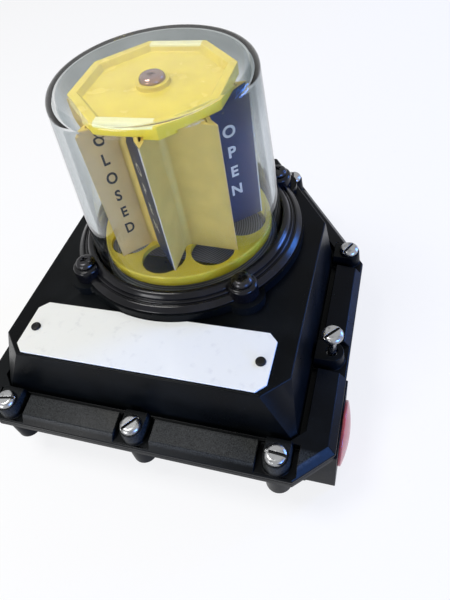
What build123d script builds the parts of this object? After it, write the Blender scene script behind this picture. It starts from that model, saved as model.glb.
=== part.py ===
from build123d import *
import os
from math import atan, atan2, cos, degrees, hypot, radians, sin, sqrt

# Valve limit switch box: a cast base on a mounting face, a cast cover held by nine captive
# screws, and a clear dome over a turning indicator. A quarter-turn valve drives the main shaft
# from below; two cams on it pass their targets across two sealed switch modules, and a tongue
# and slot carries the turn up into the indicator. Millimetres, +Z up, the front faces -Y.
# The origin is where the shaft axis meets the mounting face.

# ---------------------------------------------------------------- casting outline
flange_half_width = 81.3   # shaft axis to the side edges of the flange
flange_front = 99.2        # shaft axis to the front edge
flange_rear = 82.0         # shaft axis to the rear edge
flange_diagonal = 76.6     # shaft axis, square, to the two long rear diagonals
flange_corner = 14.4       # leg of the cut front corners
diagonal_angle = 34.7      # direction that the diagonals face, from +X

# ---------------------------------------------------------------- base
base_height = 30.0
base_floor = 3.0
base_wall = 4.5
base_rim = 3.5             # thickness of the rim under the gasket
rim_setback = 0.4          # rim edge behind the flange edge of the cover
base_side_setback = 6.3    # outside of the base walls behind the flange edge
base_front_setback = 13.7
base_rear_setback = 11.0
base_diagonal_setback = 9.6
base_corner = 6.0
base_inner_corner = 3.0
boss_radius = 5.5          # screw bosses under the rim
boss_height = 15.0
recess_radius = 30.0       # round recess for the coupling, in the underside
recess_depth = 10.0
recess_roof = 6.0
tower_wall = 4.0
hub_radius = 13.0
hub_top = 24.0
mount_spacing_x = 76.2
mount_spacing_y = 50.8
mount_hole_radius = 3.175  # 1/4-20 tapped
mount_hole_depth = 12.7
mount_boss_radius = 7.5
mount_boss_height = 17.0
entry_radius = 10.65       # conduit entries, 1/2 inch
entry_half_width = 18.0
entry_stand = 7.0          # outer face of the entry blocks beyond the base walls
entry_front_gap = 0.5      # front of the base to the front of the entry blocks
entry_top_gap = 1.0        # top of the entry blocks below the rim top
plug_foot = 1.5            # underside of the base to the edge of the plug flange
plug_flange_width = 3.35   # flange beyond the entry
plug_flange = 1.2
plug_crown = 2.3
plug_clearance = 0.05
plug_setback = 1.0         # inner end of the plug inside the wall

# ---------------------------------------------------------------- gasket
gasket_thickness = 1.0
gasket_setback = 0.8       # gasket edge behind the flange edge
gasket_hole_radius = 3.0

# ---------------------------------------------------------------- cover
cover_height = 29.0        # gasket to the flat top
cover_wall = 4.0
cover_roof = 4.0
lip_height = 1.6           # upright lip at the foot of the flange
band_rise = 3.9            # steep band above the lip
band_run = 3.0
strip_rise = 1.5           # gentle slope of the raised strip, from ridge to inner edge
strip_run = 9.2
strip_diagonal_trim = 2.4  # the strip is this much narrower along the diagonals
gutter_width = 2.6
gutter_depth = 3.5
wall_draft = 4.0           # how far the cover walls lean in, foot to top
foot_corner = 0.8
top_corner = 10.3
top_round = 0.9
pad_radius = 5.0           # raised screw pads across the strip
pad_height = 9.0
pad_reach = 7.0            # screw to the square inner end of its pad
pad_draft_width = 0.9
notch_gap = 3.0            # gap each side of a pad
notch_reach = 12.0         # screw to beyond the flange edge
notch_height = 2.4         # floor of the notches above the gasket
cover_hub_radius = 13.0
seat_ledge = 0.8           # round seat beyond the clamp ring
seat_rise = 4.4
seat_lobe_radius = 8.6
seat_lobe_shift = 0.6      # seat lobes further out than the ring screws

# ---------------------------------------------------------------- cover screws
screw_head_radius = 4.5
screw_head_height = 2.6
screw_head_round = 1.9
screw_slot_width = 1.1
screw_slot_depth = 1.1
screw_thread_radius = 2.4
screw_shank_radius = 1.8
screw_length = 20.0
screw_thread_length = 7.0
screw_clearance = 0.05
screw_hole_depth = 13.0
raised_screw_lift = 11.0
screw_side_margin = 7.4    # screws to the flange edges
screw_front_margin = 6.3
screw_diagonal_margin = 5.9
screw_corner_margin = 21.3 # outer front screws to the side edges
screw_side_front_y = -42.5
screw_side_rear_y = 18.2
screw_diagonal_run = 39.1  # rear screws along the diagonals, from the foot of the square

# ---------------------------------------------------------------- nameplate
plate_side_margin = 8.2    # plate to the edges of the flat top
plate_front_margin = 1.2
plate_depth = 26.9
plate_corner = 3.7
plate_thickness = 0.8
rivet_side_margin = 4.4    # rivets to the plate edges
rivet_front_margin = 13.0
rivet_radius = 1.3
rivet_head_radius = 2.1
rivet_head_height = 1.1
rivet_head_round = 0.7
rivet_grip = 2.2
seat_gap = 0.3             # plate edge to the round seat

# ---------------------------------------------------------------- dome and clamp ring
dome_height = 76.9         # seat to the top of the dome
dome_foot_radius = 44.3
dome_lean = 4.3            # the wall leans in, foot to top
dome_wall = 3.0
dome_roof = 2.4
dome_edge_round = 2.6
dome_flange_width = 2.5
dome_flange = 3.0
seal_thickness = 1.0
ring_clearance = 0.3
ring_crest_width = 2.8     # raised inner band
ring_crest_height = 5.6
ring_crest_round = 1.0
ring_step_width = 2.2      # slope down to the step
ring_shoulder_width = 1.4  # the step
ring_shoulder_height = 2.2
ring_slope_width = 2.4     # slope down to the seat
ear_radius = 6.4
ear_height = 6.6
ring_screw_inset = 2.4     # ring screws inside the ring edge
ring_screw_angle = 45
ring_head_radius = 4.4
ring_head_height = 2.7
ring_head_round = 2.2
ring_screw_radius = 1.8
ring_screw_grip = 5.6      # thread below the seat
cross_length = 3.4         # cross recesses
cross_width = 0.9
cross_depth = 1.2
ring_screw_count = 4

# ---------------------------------------------------------------- indicator
spindle_radius = 4.0
spindle_flange_radius = 7.0
spindle_flange = 2.0
spindle_gap = 0.6          # flange above the cover bush
disc_gap = 2.0             # disc edge to the inside of the dome foot
disc_height = 5.0
disc_plate = 2.2
disc_edge_round = 0.8
disc_skirt = 2.0
disc_hole_web = 2.05       # between neighbouring holes
disc_hole_margin = 0.3     # hole edge to the inside of the skirt
disc_hole_angle = -92.0
disc_hub_radius = 8.5
disc_hub_height = 5.5
fin_count = 8
fin_gap = 1.6              # fin tips to the inside of the dome top
fin_root_radius = 19.4
fin_tip_angle = -123.5
fin_root_angle = -115.0
cap_gap = 0.5              # cap screw to the underside of the dome roof
fin_wall = 1.4
fin_root_round = 2.5
face_thickness = 0.35      # printed faces laid on the fins
face_margin = 0.2
face_root_margin = 2.8
cap_radius = 32.2          # across the corners of the octagonal cap
cap_sides = 8
cap_height = 4.8
cap_rim = 3.6
cap_rim_slope = 1.6
cap_floor = 2.5
cap_pad_radius = 6.6
cap_pad_height = 1.7
cap_angle = 22.5
cap_head_radius = 5.1
cap_head_height = 2.2
cap_head_round = 1.8
cap_screw_radius = 2.0
cap_screw_grip = 9.0

# ---------------------------------------------------------------- drive
shaft_radius = 6.35
shaft_end = 1.5            # end of the shaft above the mounting face
end_slot_width = 3.0       # slot across the driven end
end_slot_depth = 2.5
running_clearance = 0.05
face_clearance = 0.3
bush_wall = 3.1
collar_radius = 9.5
collar_height = 2.2
drive_slot_width = 3.0
drive_slot_depth = 5.0
tongue_length = 4.4        # below the underside of the dog
tongue_clearance = 0.1
dog_height = 3.4
dog_web = 0.8
spindle_bush_wall = 3.0
clip_radius = 9.0
clip_thickness = 1.0
clip_groove = 0.9
clip_mouth = 7.0
shaft_seal_section = 0.6
shaft_seal_z = 17.0
shaft_chamfer = 0.6

# ---------------------------------------------------------------- cams and switches
cam_radius = 19.0
cam_height = 7.0
spacer_height = 3.5
cam_web = 3.0
cam_rim = 2.6
cam_hub_radius = 9.0
lower_cam_angle = 100
upper_cam_angle = 190
cam_target_radius = 2.4
cam_target_wall = 1.4
cam_target_circle_radius = 14.4
spacer_radius = 8.4
snap_ring_height = 1.0
snap_ring_gap = 1.5
switch_gap = 1.6           # cam rim to the face of a switch module
switch_depth = 16.0
switch_width = 28.0
switch_height = 9.6
switch_chamfer = 2.0
switch_screw_y = 9.5
switch_screw_grip = 5.0
bracket_thickness = 2.0
bracket_half_width = 16.0
bracket_foot_x = 17.0
bracket_screw_x = 25.0
bracket_screw_y = 5.5
bracket_screw_grip = 4.0
small_screw_radius = 1.5
small_head_radius = 2.8
small_head_height = 1.8

# ---------------------------------------------------------------- terminals
strip_half_length = 42.0
strip_y = -51.0
strip_half_depth = 11.0
strip_seat = 14.0
strip_floor = 5.0
strip_height = 12.0
strip_barrier = 1.4
strip_poles = 8
strip_post_radius = 4.5
strip_post_x = 38.0
strip_screw_grip = 9.0
terminal_screw_radius = 3.0
terminal_screw_height = 2.2
terminal_screw_y = 6.5
terminal_slot_width = 0.9
terminal_slot_depth = 0.8
ground_x = 52.0
ground_y = 2.0
ground_boss_radius = 4.8
ground_boss_height = 10.0
ground_head_radius = 4.2
ground_head_height = 2.6
ground_screw_radius = 2.1
ground_screw_grip = 6.0

# ---------------------------------------------------------------- worked out
joint_z = base_height + gasket_thickness
cover_top = joint_z + cover_height
pad_top = joint_z + pad_height
notch_floor = joint_z + notch_height
boss_z = base_height - boss_height
base_half_width = flange_half_width - base_side_setback
base_front = flange_front - base_front_setback
base_rear = flange_rear - base_rear_setback
base_diagonal = flange_diagonal - base_diagonal_setback
entry_inner_x = base_half_width - base_wall
entry_reach = base_half_width + entry_stand
entry_y = entry_half_width + entry_front_gap - base_front
plug_flange_radius = entry_radius + plug_flange_width
entry_z = plug_foot + plug_flange_radius
plug_inner_x = entry_inner_x + plug_setback
plug_face_x = entry_reach + plug_flange
ridge_z = joint_z + lip_height + band_rise
strip_inner_z = ridge_z + strip_rise
strip_inset = band_run + strip_run
strip_diagonal_inset = strip_inset - strip_diagonal_trim
gutter_z = strip_inner_z - gutter_depth
foot_inset = strip_inset + gutter_width
foot_diagonal_inset = foot_inset - strip_diagonal_trim
top_inset = foot_inset + wall_draft
top_diagonal_inset = foot_diagonal_inset + wall_draft
pad_taper = degrees(atan(pad_draft_width / pad_height))
seat_z = cover_top + seat_rise
roof_z = cover_top - cover_roof
recess_roof_z = recess_depth + recess_roof
plate_half_width = flange_half_width - top_inset - plate_side_margin
plate_front = flange_front - top_inset - plate_front_margin
plate_rear = plate_front - plate_depth
rivet_x = plate_half_width - rivet_side_margin
rivet_y = rivet_front_margin - plate_front
dome_foot_z = seat_z + seal_thickness
dome_flange_z = dome_foot_z + dome_flange
dome_top_z = seat_z + dome_height
dome_top_radius = dome_foot_radius - dome_lean
dome_flange_radius = dome_foot_radius + dome_flange_width
ring_bore_radius = dome_flange_radius + ring_clearance
ring_lip_radius = dome_foot_radius + ring_clearance
ring_crest_radius = ring_lip_radius + ring_crest_width
ring_step_radius = ring_crest_radius + ring_step_width
ring_shoulder_radius = ring_step_radius + ring_shoulder_width
ring_radius = ring_shoulder_radius + ring_slope_width
ring_screw_circle_radius = ring_radius - ring_screw_inset
ring_head_z = seat_z + ear_height
seat_radius = ring_radius + seat_ledge
seat_lobe_circle_radius = ring_screw_circle_radius + seat_lobe_shift
spindle_bush_radius = spindle_radius + running_clearance + spindle_bush_wall
shaft_bush_radius = shaft_radius + running_clearance + bush_wall
spindle_flange_z = seat_z + spindle_gap
disc_hub_z = spindle_flange_z + spindle_flange
disc_top_z = disc_hub_z + disc_hub_height
disc_radius = dome_foot_radius - dome_wall - disc_gap
fin_step = 360 / fin_count
disc_hole_reach = disc_radius - disc_skirt - disc_hole_margin
half_step_sine = sin(radians(fin_step / 2))
disc_hole_radius = (disc_hole_reach * half_step_sine - disc_hole_web / 2) / (1 + half_step_sine)
disc_hole_circle_radius = disc_hole_reach - disc_hole_radius
fin_tip_radius = dome_top_radius - dome_wall - fin_gap
cap_pad_z = dome_top_z - dome_roof - cap_gap - cap_head_height
cap_floor_z = cap_pad_z - cap_pad_height
fin_top_z = cap_floor_z - cap_floor
fin_height = fin_top_z - disc_top_z
clip_z = recess_depth - face_clearance - clip_thickness
collar_z = hub_top + face_clearance
cam_z = collar_z + collar_height
cam_pitch = cam_height + spacer_height
snap_ring_z = cam_z + cam_pitch + cam_height
shaft_top = snap_ring_z + 2 * snap_ring_height
dog_z = shaft_top + face_clearance
spindle_foot_z = dog_z + dog_web
cover_hub_z = dog_z + dog_height + face_clearance
switch_x = cam_radius + switch_gap
bracket_x = switch_x + switch_depth
lower_level = cam_z + cam_height / 2
upper_level = lower_level + cam_pitch
bracket_top = upper_level + switch_height / 2
pole_pitch = 2 * (strip_post_x - strip_post_radius) / strip_poles
terminal_z = strip_seat + strip_floor
rivet_places = [(-rivet_x, rivet_y), (rivet_x, rivet_y)]
bracket_places = [(bracket_screw_x, -bracket_screw_y), (bracket_screw_x, bracket_screw_y)]
strip_posts = [(-strip_post_x, strip_y), (strip_post_x, strip_y)]
ground_place = (ground_x, ground_y)
switch_screw_places = [
    (side * switch_screw_y, level) for side in (-1, 1) for level in (lower_level, upper_level)
]

# every cover screw: x, y, the direction out of the flange, and the direction of its slot
screw_x = flange_half_width - screw_side_margin
front_x = flange_half_width - screw_corner_margin
front_y = screw_front_margin - flange_front
diagonal_reach = flange_diagonal - screw_diagonal_margin
diagonal_x = diagonal_reach * cos(radians(diagonal_angle)) - screw_diagonal_run * sin(radians(diagonal_angle))
diagonal_y = diagonal_reach * sin(radians(diagonal_angle)) + screw_diagonal_run * cos(radians(diagonal_angle))
screws_front = [(-front_x, front_y, -90, 12), (0, front_y, -90, 52), (front_x, front_y, -90, -4)]
screws_left = [(-screw_x, screw_side_front_y, 180, 25), (-screw_x, screw_side_rear_y, 180, 70)]
screws_right = [(screw_x, screw_side_rear_y, 0, 62)]
screws_rear = [
    (-diagonal_x, diagonal_y, 180 - diagonal_angle, 15),
    (diagonal_x, diagonal_y, diagonal_angle, 100),
]
seated_screws = screws_front + screws_left + screws_right + screws_rear
raised_screw = (screw_x, screw_side_front_y, 0, 48)
all_screws = seated_screws + [raised_screw]


def outline(half, front, rear, reach, corner):
    """Points of the casting outline: cut front corners, long diagonals at the rear."""
    shoulder = (reach - half * cos(radians(diagonal_angle))) / sin(radians(diagonal_angle))
    rear_half = (reach - rear * sin(radians(diagonal_angle))) / cos(radians(diagonal_angle))
    right = [(half - corner, -front), (half, corner - front), (half, shoulder), (rear_half, rear)]
    left = [(-x, y) for x, y in reversed(right)]
    return right + left


def house(inset, corner, diagonal_inset):
    """Casting outline drawn in from the flange edge."""
    return outline(
        flange_half_width - inset,
        flange_front - inset,
        flange_rear - inset,
        flange_diagonal - diagonal_inset,
        corner,
    )


def corner_at(inset):
    """Leg of the front corner cut once the outline is drawn in evenly by an inset."""
    return flange_corner - inset * (2 - sqrt(2))


def screw_places(screws):
    """Plane positions of a list of screws."""
    return [(x, y) for x, y, out, slot in screws]


def polar(radius, angle):
    """Point at a radius and an angle in degrees."""
    return (radius * cos(radians(angle)), radius * sin(radians(angle)))


os.makedirs("parts", exist_ok=True)

# ================================================================ base housing
with BuildPart() as base_housing:
    with BuildSketch():
        Polygon(*outline(base_half_width, base_front, base_rear, base_diagonal, base_corner), align=None)
    extrude(amount=base_height)
    with BuildSketch():
        with Locations((0, entry_y)):
            Rectangle(2 * entry_reach, 2 * entry_half_width)
    extrude(amount=base_height - entry_top_gap)
    with BuildSketch(Plane.XY.offset(base_height - base_rim)):
        Polygon(*house(rim_setback, corner_at(rim_setback), rim_setback), align=None)
    extrude(amount=base_rim)
    # the inside, open at the top
    with BuildSketch(Plane.XY.offset(base_floor)):
        Polygon(
            *outline(
                base_half_width - base_wall,
                base_front - base_wall,
                base_rear - base_wall,
                base_diagonal - base_wall,
                base_inner_corner,
            ),
            align=None,
        )
    extrude(amount=base_height, mode=Mode.SUBTRACT)
    # screw bosses, round below the rim and showing inside the walls
    with BuildSketch(Plane.XY.offset(boss_z)):
        with Locations(*screw_places(all_screws)):
            Circle(boss_radius)
    extrude(amount=boss_height)
    # tower over the coupling recess, the hub for the bush, and the bosses and posts
    with BuildSketch(Plane.XY.offset(base_floor)):
        Circle(recess_radius + tower_wall)
    extrude(amount=recess_roof_z - base_floor)
    with BuildSketch(Plane.XY.offset(base_floor)):
        Circle(hub_radius)
    extrude(amount=hub_top - base_floor)
    with BuildSketch(Plane.XY.offset(base_floor)):
        with GridLocations(mount_spacing_x, mount_spacing_y, 2, 2):
            Circle(mount_boss_radius)
    extrude(amount=mount_boss_height - base_floor)
    with BuildSketch(Plane.XY.offset(base_floor)):
        with Locations(*strip_posts):
            Circle(strip_post_radius)
    extrude(amount=strip_seat - base_floor)
    with BuildSketch(Plane.XY.offset(base_floor)):
        with Locations(ground_place):
            Circle(ground_boss_radius)
    extrude(amount=ground_boss_height - base_floor)
    # coupling recess and the bore for the bush
    with BuildSketch():
        Circle(recess_radius)
    extrude(amount=recess_depth, mode=Mode.SUBTRACT)
    with BuildSketch():
        Circle(shaft_bush_radius)
    extrude(amount=hub_top, mode=Mode.SUBTRACT)
    # tapped holes in the mounting face
    with BuildSketch():
        with GridLocations(mount_spacing_x, mount_spacing_y, 2, 2):
            Circle(mount_hole_radius)
    extrude(amount=mount_hole_depth, mode=Mode.SUBTRACT)
    # tapped holes for the cover, bracket, terminal and ground screws
    with Locations(Plane.XY.offset(base_height)):
        with Locations(*screw_places(all_screws)):
            Hole(screw_thread_radius + screw_clearance, depth=screw_hole_depth)
    with Locations(Plane.XY.offset(recess_roof_z)):
        with Locations(*bracket_places):
            Hole(small_screw_radius, depth=bracket_screw_grip)
    with Locations(Plane.XY.offset(strip_seat)):
        with Locations(*strip_posts):
            Hole(small_screw_radius, depth=strip_screw_grip)
    with Locations(Plane.XY.offset(ground_boss_height)):
        with Locations(ground_place):
            Hole(ground_screw_radius, depth=ground_screw_grip)
    # conduit entries, left and right
    for entry_start_x in (entry_inner_x, -entry_reach):
        with BuildSketch(Plane.YZ.offset(entry_start_x)):
            with Locations((entry_y, entry_z)):
                Circle(entry_radius)
        extrude(amount=entry_reach - entry_inner_x, mode=Mode.SUBTRACT)
base_housing.part.label = "base_housing"
export_step(base_housing.part, "parts/base_housing.step")

# ================================================================ conduit plug
with BuildPart() as conduit_plug:
    with BuildSketch(Plane.XZ.offset(-entry_y)):
        with BuildLine():
            Polyline(
                (plug_face_x + plug_crown, entry_z),
                (plug_inner_x, entry_z),
                (plug_inner_x, entry_z + entry_radius - plug_clearance),
                (entry_reach, entry_z + entry_radius - plug_clearance),
                (entry_reach, entry_z + plug_flange_radius),
                (plug_face_x, entry_z + plug_flange_radius),
            )
            RadiusArc(
                (plug_face_x, entry_z + plug_flange_radius),
                (plug_face_x + plug_crown, entry_z),
                plug_flange_radius ** 2 / (2 * plug_crown) + plug_crown / 2,
            )
        make_face()
    revolve(axis=Axis((0, entry_y, entry_z), (1, 0, 0)))
conduit_plug.part.label = "conduit_plug"
export_step(conduit_plug.part, "parts/conduit_plug.step")

# ================================================================ gasket
with BuildPart() as cover_gasket:
    with BuildSketch(Plane.XY.offset(base_height)):
        Polygon(*house(gasket_setback, corner_at(gasket_setback), gasket_setback), align=None)
        Polygon(
            *outline(
                base_half_width - base_wall,
                base_front - base_wall,
                base_rear - base_wall,
                base_diagonal - base_wall,
                base_inner_corner,
            ),
            align=None,
            mode=Mode.SUBTRACT,
        )
        with Locations(*screw_places(all_screws)):
            Circle(boss_radius)
            Circle(gasket_hole_radius, mode=Mode.SUBTRACT)
    extrude(amount=gasket_thickness)
cover_gasket.part.label = "cover_gasket"
export_step(cover_gasket.part, "parts/cover_gasket.step")

# ================================================================ cover
with BuildPart() as cover:
    # flange: upright lip, steep band, gently sloping strip, then the gutter inside it
    with BuildSketch(Plane.XY.offset(joint_z)):
        Polygon(*house(0, flange_corner, 0), align=None)
    extrude(amount=lip_height)
    with BuildSketch(Plane.XY.offset(joint_z + lip_height)):
        Polygon(*house(0, flange_corner, 0), align=None)
    with BuildSketch(Plane.XY.offset(ridge_z)):
        Polygon(*house(band_run, corner_at(band_run), band_run), align=None)
    loft(ruled=True)
    with BuildSketch(Plane.XY.offset(ridge_z)):
        Polygon(*house(band_run, corner_at(band_run), band_run), align=None)
    with BuildSketch(Plane.XY.offset(strip_inner_z)):
        Polygon(*house(strip_inset, corner_at(strip_inset), strip_diagonal_inset), align=None)
    loft(ruled=True)
    with BuildSketch(Plane.XY.offset(gutter_z)):
        Polygon(*house(strip_inset, corner_at(strip_inset), strip_diagonal_inset), align=None)
    extrude(amount=2 * gutter_depth, mode=Mode.SUBTRACT)
    # a notch across the strip for each screw, then its drafted pad
    with BuildSketch(Plane.XY.offset(notch_floor)):
        for x, y, out, slot in all_screws:
            with Locations(Location((x, y), out)):
                with Locations(((notch_reach - pad_reach) / 2, 0)):
                    Rectangle(notch_reach + pad_reach, 2 * (pad_radius + notch_gap))
    extrude(amount=strip_inner_z - notch_floor, mode=Mode.SUBTRACT)
    for x, y, out, slot in all_screws:
        with BuildSketch(Plane.XY.offset(pad_top)):
            with Locations(Location((x, y), out)):
                Circle(pad_radius)
                with Locations((-pad_reach / 2, 0)):
                    Rectangle(pad_reach, 2 * pad_radius)
        extrude(amount=joint_z - pad_top, taper=-pad_taper)
    # drafted body
    with BuildSketch(Plane.XY.offset(gutter_z)):
        Polygon(*house(foot_inset, foot_corner, foot_diagonal_inset), align=None)
    with BuildSketch(Plane.XY.offset(cover_top)):
        Polygon(*house(top_inset, top_corner, top_diagonal_inset), align=None)
    loft(ruled=True)
    fillet(cover.edges().group_by(Axis.Z)[-1], top_round)
    # hollow inside
    with BuildSketch(Plane.XY.offset(joint_z)):
        Polygon(
            *house(foot_inset + cover_wall, foot_corner, foot_diagonal_inset + cover_wall),
            align=None,
        )
    with BuildSketch(Plane.XY.offset(roof_z)):
        Polygon(
            *house(top_inset + cover_wall, top_corner, top_diagonal_inset + cover_wall),
            align=None,
        )
    loft(ruled=True, mode=Mode.SUBTRACT)
    # round seat with a lobe at each ring screw, and the hub for the spindle bush
    with BuildSketch(Plane.XY.offset(roof_z)):
        Circle(seat_radius)
        with PolarLocations(seat_lobe_circle_radius, ring_screw_count, start_angle=ring_screw_angle):
            Circle(seat_lobe_radius)
    extrude(amount=seat_z - roof_z)
    with BuildSketch(Plane.XY.offset(cover_hub_z)):
        Circle(cover_hub_radius)
    extrude(amount=roof_z - cover_hub_z)
    with BuildSketch(Plane.XY.offset(cover_hub_z)):
        Circle(spindle_bush_radius)
    extrude(amount=seat_z - cover_hub_z, mode=Mode.SUBTRACT)
    with Locations(Plane.XY.offset(seat_z)):
        with PolarLocations(ring_screw_circle_radius, ring_screw_count, start_angle=ring_screw_angle):
            Hole(ring_screw_radius, depth=ring_screw_grip)
    with Locations(Plane.XY.offset(pad_top)):
        with Locations(*screw_places(all_screws)):
            Hole(screw_thread_radius + screw_clearance, depth=pad_top - joint_z)
    with Locations(Plane.XY.offset(cover_top)):
        with Locations(*rivet_places):
            Hole(rivet_radius, depth=rivet_grip)
cover.part.label = "cover"
export_step(cover.part, "parts/cover.step")


# ================================================================ cover screws
def captive_screws(screws, head_z):
    """Slotted pan head screws with a thin shank above a short threaded end."""
    with BuildPart() as piece:
        with BuildSketch(Plane.XY.offset(head_z)):
            with Locations(*screw_places(screws)):
                Circle(screw_head_radius)
        extrude(amount=screw_head_height)
        fillet(piece.edges().group_by(Axis.Z)[-1], screw_head_round)
        with BuildSketch(Plane.XY.offset(head_z - screw_length)):
            with Locations(*screw_places(screws)):
                Circle(screw_shank_radius)
        extrude(amount=screw_length)
        with BuildSketch(Plane.XY.offset(head_z - screw_length)):
            with Locations(*screw_places(screws)):
                Circle(screw_thread_radius)
        extrude(amount=screw_thread_length)
        for x, y, out, slot in screws:
            with BuildSketch(Plane.XY.offset(head_z + screw_head_height)):
                with Locations(Location((x, y), slot)):
                    Rectangle(3 * screw_head_radius, screw_slot_width)
            extrude(amount=-screw_slot_depth, mode=Mode.SUBTRACT)
    return piece


cover_screws = captive_screws(seated_screws, pad_top)
cover_screws.part.label = "cover_screws"
export_step(cover_screws.part, "parts/cover_screws.step")

raised_cover_screw = captive_screws([raised_screw], pad_top + raised_screw_lift)
raised_cover_screw.part.label = "raised_cover_screw"
export_step(raised_cover_screw.part, "parts/raised_cover_screw.step")

# ================================================================ nameplate
with BuildPart() as nameplate:
    with BuildSketch(Plane.XY.offset(cover_top)) as plate_outline:
        with Locations((0, -(plate_front + plate_rear) / 2)):
            Rectangle(2 * plate_half_width, plate_front - plate_rear)
        chamfer(plate_outline.vertices(), plate_corner)
        Circle(seat_radius + seat_gap, mode=Mode.SUBTRACT)
        with Locations(*rivet_places):
            Circle(rivet_radius, mode=Mode.SUBTRACT)
    extrude(amount=plate_thickness)
nameplate.part.label = "nameplate"
export_step(nameplate.part, "parts/nameplate.step")

with BuildPart() as nameplate_rivets:
    with BuildSketch(Plane.XY.offset(cover_top + plate_thickness)):
        with Locations(*rivet_places):
            Circle(rivet_head_radius)
    extrude(amount=rivet_head_height)
    fillet(nameplate_rivets.edges().group_by(Axis.Z)[-1], rivet_head_round)
    with BuildSketch(Plane.XY.offset(cover_top - rivet_grip)):
        with Locations(*rivet_places):
            Circle(rivet_radius)
    extrude(amount=rivet_grip + plate_thickness)
nameplate_rivets.part.label = "nameplate_rivets"
export_step(nameplate_rivets.part, "parts/nameplate_rivets.step")

# ================================================================ dome, its seal and clamp ring
with BuildPart() as dome:
    with BuildSketch(Plane.XZ):
        with BuildLine():
            Polyline(
                (dome_foot_radius - dome_wall, dome_foot_z),
                (dome_flange_radius, dome_foot_z),
                (dome_flange_radius, dome_flange_z),
                (dome_foot_radius, dome_flange_z),
                (dome_top_radius, dome_top_z),
                (0, dome_top_z),
                (0, dome_top_z - dome_roof),
                (dome_top_radius - dome_wall, dome_top_z - dome_roof),
                close=True,
            )
        make_face()
    revolve(axis=Axis.Z)
    fillet(dome.edges().group_by(Axis.Z)[-1], dome_edge_round)
dome.part.label = "dome"
export_step(dome.part, "parts/dome.step")

with BuildPart() as dome_seal:
    with BuildSketch(Plane.XY.offset(seat_z)):
        Circle(dome_flange_radius)
        Circle(dome_foot_radius - dome_wall, mode=Mode.SUBTRACT)
    extrude(amount=seal_thickness)
dome_seal.part.label = "dome_seal"
export_step(dome_seal.part, "parts/dome_seal.step")

with BuildPart() as dome_ring:
    with BuildSketch(Plane.XZ):
        with BuildLine():
            Polyline(
                (ring_bore_radius, seat_z),
                (ring_radius, seat_z),
                (ring_shoulder_radius, seat_z + ring_shoulder_height),
                (ring_step_radius, seat_z + ring_shoulder_height),
                (ring_crest_radius + ring_crest_round, seat_z + ring_crest_height - ring_crest_round),
                (ring_crest_radius, seat_z + ring_crest_height),
                (ring_lip_radius + ring_crest_round, seat_z + ring_crest_height),
                (ring_lip_radius, seat_z + ring_crest_height - ring_crest_round),
                (ring_lip_radius, dome_flange_z),
                (ring_bore_radius, dome_flange_z),
                close=True,
            )
        make_face()
    revolve(axis=Axis.Z)
    with BuildSketch(Plane.XY.offset(seat_z)):
        with PolarLocations(ring_screw_circle_radius, ring_screw_count, start_angle=ring_screw_angle):
            Circle(ear_radius)
        Circle(ring_bore_radius, mode=Mode.SUBTRACT)
    extrude(amount=ear_height)
    with Locations(Plane.XY.offset(seat_z + ear_height)):
        with PolarLocations(ring_screw_circle_radius, ring_screw_count, start_angle=ring_screw_angle):
            Hole(ring_screw_radius, depth=ear_height)
dome_ring.part.label = "dome_ring"
export_step(dome_ring.part, "parts/dome_ring.step")

with BuildPart() as dome_ring_screws:
    with BuildSketch(Plane.XY.offset(ring_head_z)):
        with PolarLocations(ring_screw_circle_radius, ring_screw_count, start_angle=ring_screw_angle):
            Circle(ring_head_radius)
    extrude(amount=ring_head_height)
    fillet(dome_ring_screws.edges().group_by(Axis.Z)[-1], ring_head_round)
    with BuildSketch(Plane.XY.offset(ring_head_z)):
        with PolarLocations(ring_screw_circle_radius, ring_screw_count, start_angle=ring_screw_angle):
            Circle(ring_screw_radius)
    extrude(amount=-(ear_height + ring_screw_grip))
    with BuildSketch(Plane.XY.offset(ring_head_z + ring_head_height)):
        with PolarLocations(ring_screw_circle_radius, ring_screw_count, start_angle=ring_screw_angle):
            Rectangle(cross_length, cross_width)
            Rectangle(cross_width, cross_length)
    extrude(amount=-cross_depth, mode=Mode.SUBTRACT)
dome_ring_screws.part.label = "dome_ring_screws"
export_step(dome_ring_screws.part, "parts/dome_ring_screws.step")

# ================================================================ indicator spindle and its bush
with BuildPart() as spindle_bush:
    with BuildSketch(Plane.XY.offset(cover_hub_z)):
        Circle(spindle_bush_radius)
        Circle(spindle_radius + running_clearance, mode=Mode.SUBTRACT)
    extrude(amount=seat_z - cover_hub_z)
spindle_bush.part.label = "spindle_bush"
export_step(spindle_bush.part, "parts/spindle_bush.step")

with BuildPart() as indicator_spindle:
    with BuildSketch(Plane.XY.offset(spindle_foot_z)):
        Circle(spindle_radius)
    extrude(amount=cap_floor_z - spindle_foot_z)
    with BuildSketch(Plane.XY.offset(spindle_flange_z)):
        Circle(spindle_flange_radius)
    extrude(amount=spindle_flange)
    with Locations(Plane.XY.offset(cap_floor_z)):
        Hole(cap_screw_radius, depth=cap_screw_grip)
indicator_spindle.part.label = "indicator_spindle"
export_step(indicator_spindle.part, "parts/indicator_spindle.step")

with BuildPart() as drive_dog:
    with BuildSketch(Plane.XY.offset(dog_z)):
        Circle(shaft_radius)
    extrude(amount=dog_height)
    with BuildSketch(Plane.XY.offset(spindle_foot_z)):
        Circle(spindle_radius)
    extrude(amount=dog_height, mode=Mode.SUBTRACT)
    with BuildSketch(Plane.XY.offset(dog_z)):
        Rectangle(2 * shaft_radius, drive_slot_width - 2 * tongue_clearance)
        Circle(shaft_radius, mode=Mode.INTERSECT)
    extrude(amount=-tongue_length)
drive_dog.part.label = "drive_dog"
export_step(drive_dog.part, "parts/drive_dog.step")

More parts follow.
